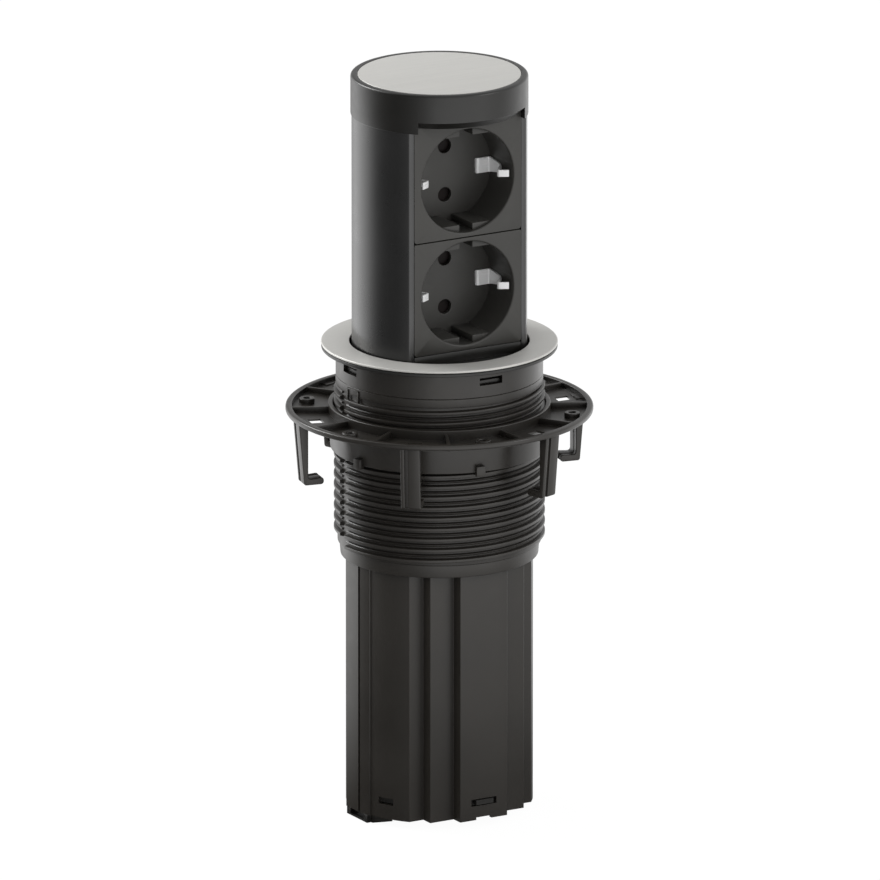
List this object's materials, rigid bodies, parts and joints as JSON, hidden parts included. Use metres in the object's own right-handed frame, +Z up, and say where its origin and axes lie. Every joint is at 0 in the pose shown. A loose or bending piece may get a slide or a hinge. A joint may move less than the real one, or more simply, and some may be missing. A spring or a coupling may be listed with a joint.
{
  "type": "pop up desk socket",
  "caption": "Spring-lifted round column with earthed sockets that rises from a housing clamped in a round worktop cut-out.",
  "frame": {"origin": "on the vertical axis, in the plane where the flange ring rests on the worktop", "axes": "+Z up along the column's travel; the socket faces look along -Y"},
  "size_m": [0.1162, 0.1162, 0.2869],
  "materials": {
    "satin_steel": "fine brushed, satin",
    "plain_steel": "plain zinc plated",
    "black_plastic": "moulded, semi-matt black",
    "dark_plastic": "moulded, matt black",
    "cap_plastic": "moulded, satin black",
    "face_plastic": "moulded, fine-grained warm black",
    "black_aluminium": "satin black anodised",
    "seal_rubber": "matt",
    "shutter_plastic": "moulded brown",
    "slide_plastic": "low-friction, off-white",
    "contact_brass": "plain strip and tube",
    "nickel_plate": "bright nickel plated strip"
  },
  "bodies": {
    "housing": {"flange_ring": "satin_steel", "ring_carrier": "dark_plastic", "threaded_sleeve": "black_plastic", "wiper_seal": "seal_rubber", "guide_bush": "dark_plastic", "guide_housing": "black_plastic", "base_cap": "dark_plastic", "cable_grommet": "seal_rubber", "push_latch": "dark_plastic", "lift_spring": "plain_steel"},
    "clamp_ring": {"clamp_ring": "black_plastic"},
    "column": {"lid_disc": "satin_steel", "top_cap": "cap_plastic", "cap_screws": "plain_steel", "column_profile": "black_aluminium", "upper_faceplate": "face_plastic", "lower_faceplate": "face_plastic", "upper_socket_floor": "face_plastic", "lower_socket_floor": "face_plastic", "upper_contact_block": "dark_plastic", "lower_contact_block": "dark_plastic", "upper_contacts": "contact_brass", "lower_contacts": "contact_brass", "upper_earth_clip": "nickel_plate", "lower_earth_clip": "nickel_plate", "live_busbar": "contact_brass", "neutral_busbar": "contact_brass", "earth_busbar": "contact_brass", "terminal_block": "face_plastic", "terminal_screws": "plain_steel", "front_apron": "cap_plastic", "terminal_cover": "face_plastic", "column_foot": "dark_plastic", "foot_slide_pads": "slide_plastic", "foot_screws": "plain_steel", "latch_striker": "plain_steel"},
    "upper_shutter": {"upper_shutter": "shutter_plastic"},
    "lower_shutter": {"lower_shutter": "shutter_plastic"}
  },
  "joints": [
    {"name": "column_lift", "type": "slide", "parent": "housing", "child": "column", "axis": [0, 0, 1], "range_m": [-0.104, 0], "stiffness_N_per_m": 60, "springref_m": 0.15, "deforming": ["lift_spring"]},
    {"name": "clamp_slide", "type": "slide", "parent": "housing", "child": "clamp_ring", "axis": [0, 0, 1], "range_m": [-0.033, 0.012]},
    {"name": "upper_shutter_turn", "type": "hinge", "parent": "column", "child": "upper_shutter", "pos_m": [0, -0.0013, 0.0695], "axis": [0, 1, 0], "range_deg": [0, 45], "stiffness_Nm_per_rad": 0.002, "springref_deg": -5.73},
    {"name": "lower_shutter_turn", "type": "hinge", "parent": "column", "child": "lower_shutter", "pos_m": [0, -0.0013, 0.0257], "axis": [0, 1, 0], "range_deg": [0, 45], "stiffness_Nm_per_rad": 0.002, "springref_deg": -5.73}
  ]
}
